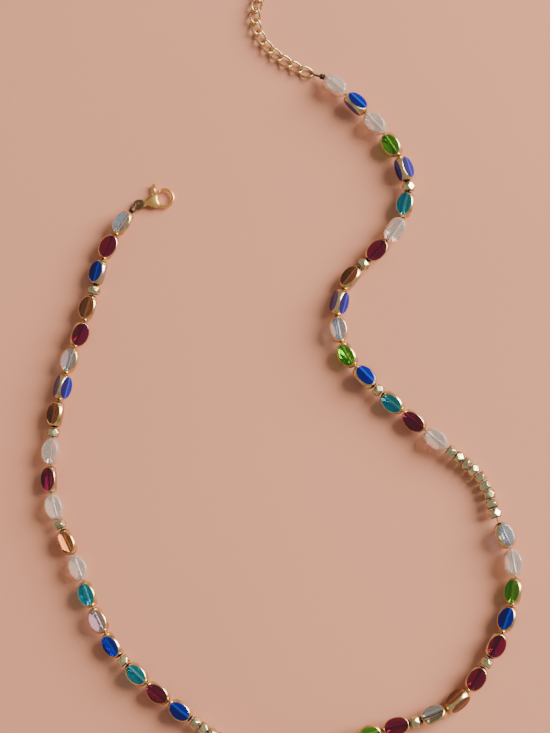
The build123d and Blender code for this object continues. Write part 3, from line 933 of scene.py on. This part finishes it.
def cast_copy(node, name, rounds, lumps=()):
    """A merged copy of a CAD node with any lumps melted on, made of even cells, smoothed a
    number of times, and pillowed. It is made in millimetres, and then brought to metres."""
    merged = bmesh.new()
    merged.from_mesh(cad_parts[node].data)
    bmesh.ops.remove_doubles(merged, verts=merged.verts, dist=MERGE_WITHIN)
    bmesh.ops.scale(merged, vec=(1 / MM,) * 3, verts=merged.verts)
    for (x, y), size in lumps:
        middle = clasp_origin / MM + x * clasp_axes[0] + y * clasp_axes[1]
        matrix = (Matrix.Translation(middle) @ Matrix.Rotation(CLASP_HEADING, 4, "Z")
                  @ Matrix.Diagonal((*size, 1)))
        bmesh.ops.create_uvsphere(merged, u_segments=32, v_segments=20, radius=1, matrix=matrix)
    mesh = bpy.data.meshes.new(name)
    merged.to_mesh(mesh)
    merged.free()
    piece = bpy.data.objects.new(name, mesh)
    bpy.context.scene.collection.objects.link(piece)
    cells = piece.modifiers.new("cells", "REMESH")
    cells.mode = "VOXEL"
    cells.voxel_size = CELL
    relax = piece.modifiers.new("relax", "SMOOTH")
    relax.factor = 0.5
    relax.iterations = rounds
    bpy.context.view_layer.update()
    depsgraph = bpy.context.evaluated_depsgraph_get()
    finished = bpy.data.meshes.new_from_object(piece.evaluated_get(depsgraph))
    piece.modifiers.clear()
    finished.transform(Matrix.Scale(MM, 4))
    crown(finished)
    finished.shade_smooth()
    finished.materials.clear()
    finished.materials.append(clasp_gold)
    piece.data = finished
    return piece


for node, body, rounds, lumps in (("clasp_body", "clasp", BODY_ROUNDS, ()),
                                  ("clasp_lever", "clasp_lever", LEVER_ROUNDS, LEVER_LUMPS)):
    piece = cast_copy(node, f"cast_{node}", rounds, lumps)
    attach(piece, body)
    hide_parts(node)
    print(piece.name, len(piece.data.polygons), "faces")
for node, metal in (("clasp_rivet", clasp_gold), ("clasp_spring", wire_metal)):
    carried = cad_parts[node]
    carried.data.materials.clear()
    carried.data.materials.append(metal)

# %% [markdown]
# ## Floor and light
#
# A plain pale floor in a warm tone, one large low light from the upper right that throws soft
# shadows to the left, and an even sky. Polished metal mostly shows what it reflects, so the
# sky is kept mid-grey and the one bright light gives the sparkle. The light is far off, so
# that it lights the floor evenly and none of the floor in view lies behind it.

# %% Floor
FLOOR_HALF = 3
PAPER_DEPTH = 0.02 * MM
floor_mesh = bpy.data.meshes.new("floor")
floor_mesh.from_pydata(
    [(-FLOOR_HALF, -FLOOR_HALF, 0), (FLOOR_HALF, -FLOOR_HALF, 0),
     (FLOOR_HALF, FLOOR_HALF, 0), (-FLOOR_HALF, FLOOR_HALF, 0)], [], [(0, 1, 2, 3)]
)
floor = bpy.data.objects.new("floor", floor_mesh)
bpy.context.scene.collection.objects.link(floor)
floor_finish = Finish("floor_paper")
floor_mesh.materials.append(floor_finish.done(floor_finish.surface(
    Base_Color=floor_finish.mix(floor_finish.noise(6), rgb(0.60, 0.245, 0.142),
                                rgb(0.66, 0.275, 0.162)),
    Roughness=0.75, Normal=floor_finish.bump(floor_finish.noise(700, 3), PAPER_DEPTH),
)))


# %% Lights
def soft_light(name, heading, rise, distance, size, power, colour):
    """A round light that looks at the strap's middle from a heading and a rise in degrees."""
    data = bpy.data.lights.new(name, "AREA")
    data.shape = "DISK"
    data.size, data.energy, data.color = size, power, colour
    lamp = bpy.data.objects.new(name, data)
    direction = Vector((cos(radians(heading)) * cos(radians(rise)),
                        sin(radians(heading)) * cos(radians(rise)), sin(radians(rise))))
    lamp.location = direction * distance
    lamp.rotation_euler = direction.to_track_quat("Z", "Y").to_euler()
    bpy.context.scene.collection.objects.link(lamp)


soft_light("key_light", LIGHT_HEADING, rise=29, distance=2.2, size=1.7, power=160,
           colour=(1.0, 0.96, 0.91))
world = bpy.data.worlds.new("studio")
world.use_nodes = True
sky = world.node_tree.nodes["Background"]
sky.inputs["Color"].default_value = rgb(0.90, 0.88, 0.82)
sky.inputs["Strength"].default_value = 0.42
bpy.context.scene.world = world
print("floor, key light and sky")
